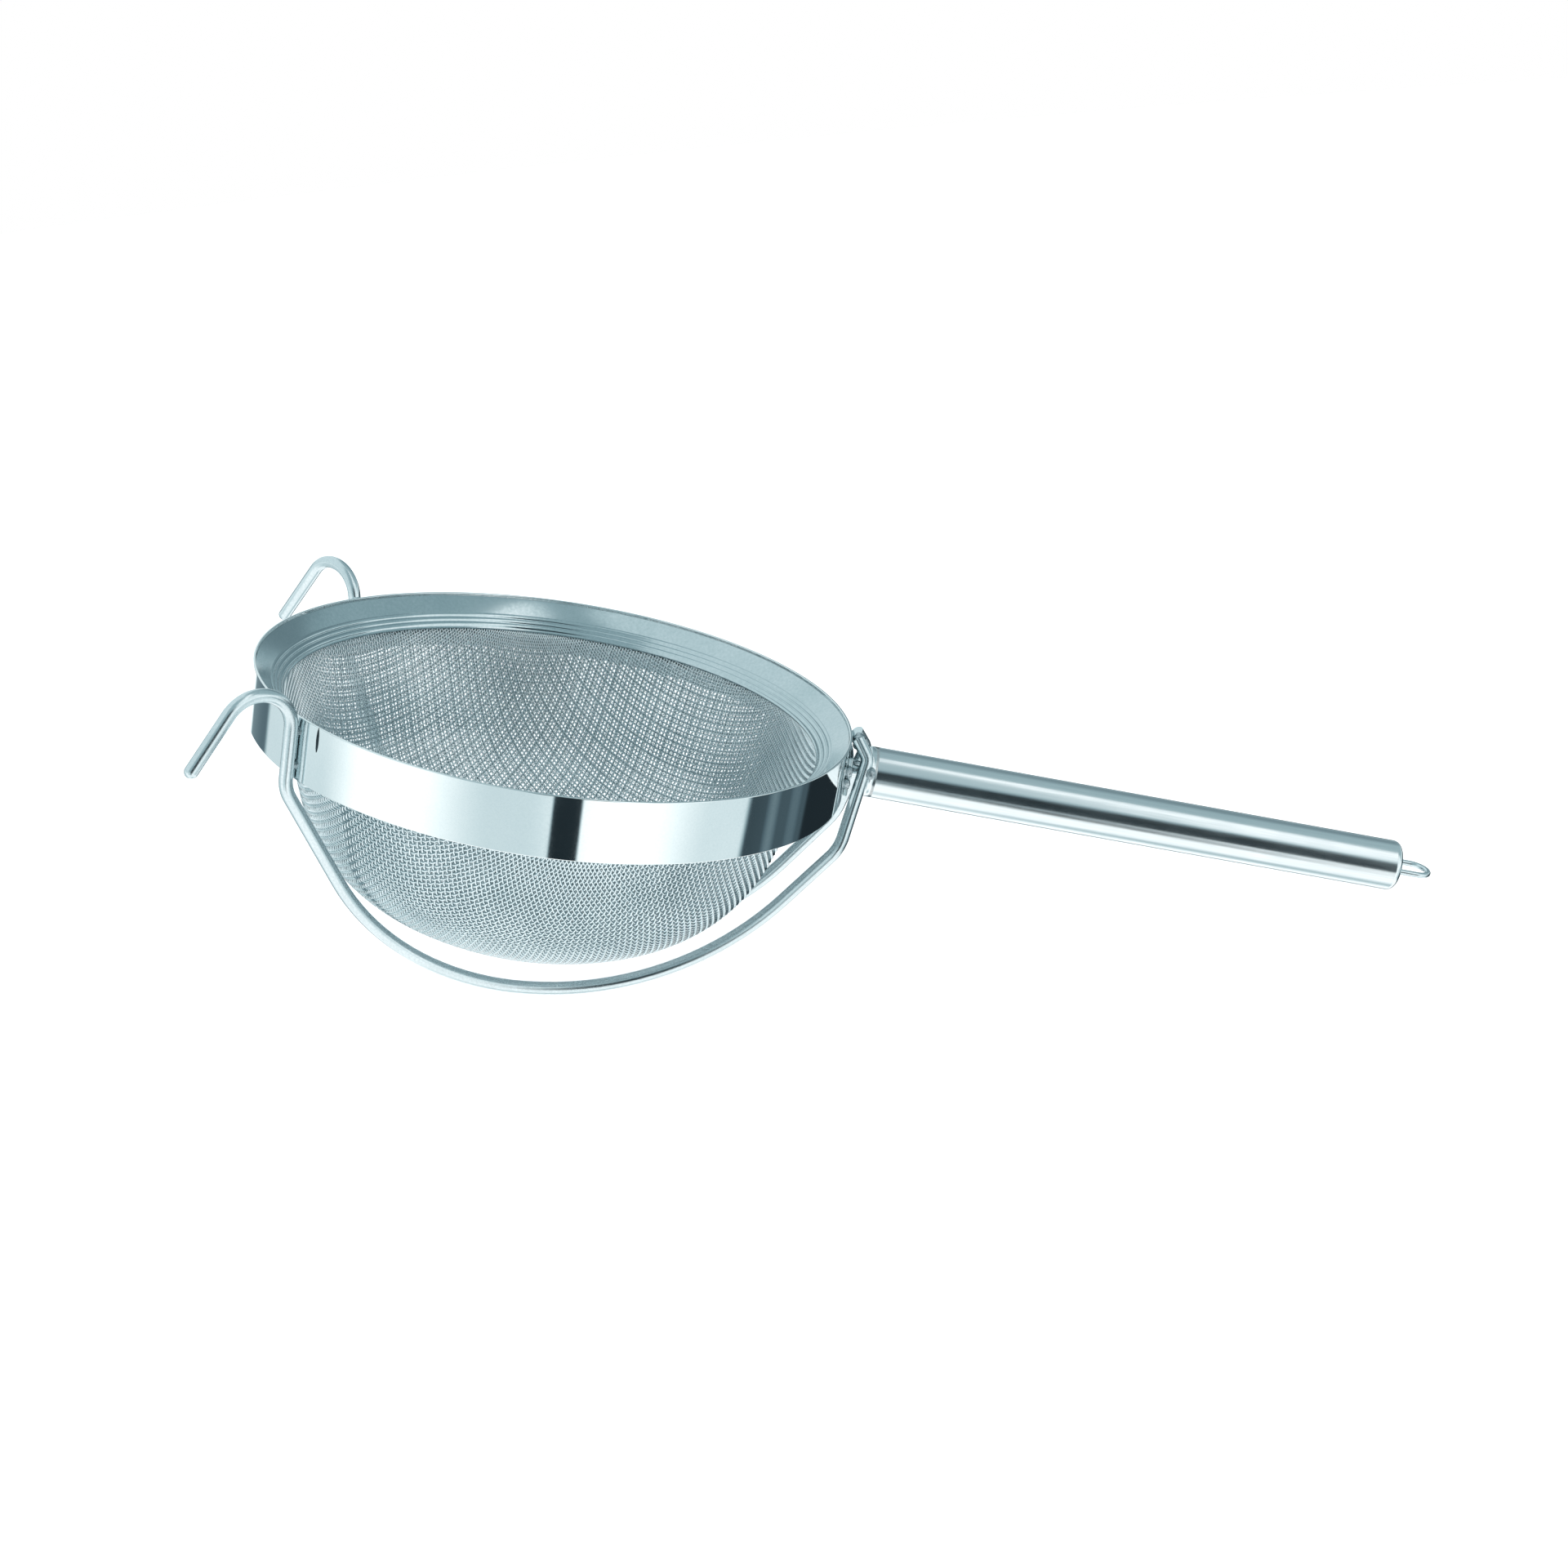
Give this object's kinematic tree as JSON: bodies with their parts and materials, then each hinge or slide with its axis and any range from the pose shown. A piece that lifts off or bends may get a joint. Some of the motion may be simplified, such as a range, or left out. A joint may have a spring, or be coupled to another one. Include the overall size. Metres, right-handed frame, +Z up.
{
  "type": "bowl strainer",
  "caption": "Round-bottomed strainer with a double bowl of woven wire cloth in a deep polished rim band, two bent frame wires that form hooks and skids, and a tube handle with a hanging loop.",
  "frame": {"origin": "on the table, in the middle of the strainer's box as it lies on its frame wires and handle's end", "axes": "+X from the bowl along the handle, +Y to the right-hand side seen from the handle's end towards the bowl with the bowl's mouth up, +Z up from the table"},
  "size_m": [0.4366, 0.22, 0.1487],
  "materials": {
    "band_steel": "mirror-polished stainless strip",
    "ring_steel": "pressed stainless strip, bright rolled finish",
    "coarse_cloth": "plain-woven coarse stainless wire cloth",
    "fine_cloth": "plain-woven fine stainless wire cloth",
    "wire_steel": "cold-drawn stainless wire, tumbled bright",
    "handle_steel": "stainless tube brushed along its length",
    "weld_steel": "weld metal, rough, with heat tint"
  },
  "bodies": {
    "root": {"rim_band": "band_steel", "clamp_ring": "ring_steel", "seat_ring": "ring_steel", "fine_mesh_bowl": "fine_cloth", "coarse_mesh_bowl": "coarse_cloth", "guard_wire_left": "wire_steel", "guard_wire_right": "wire_steel", "hook_spot_welds": "weld_steel", "wire_end_weld": "weld_steel", "band_saddle": "ring_steel", "saddle_weld_beads": "weld_steel", "handle_root_cap": "handle_steel", "root_weld_beads": "weld_steel", "handle_tube": "handle_steel", "handle_end_cap": "handle_steel", "hanging_loop": "wire_steel"}
  },
  "joints": []
}
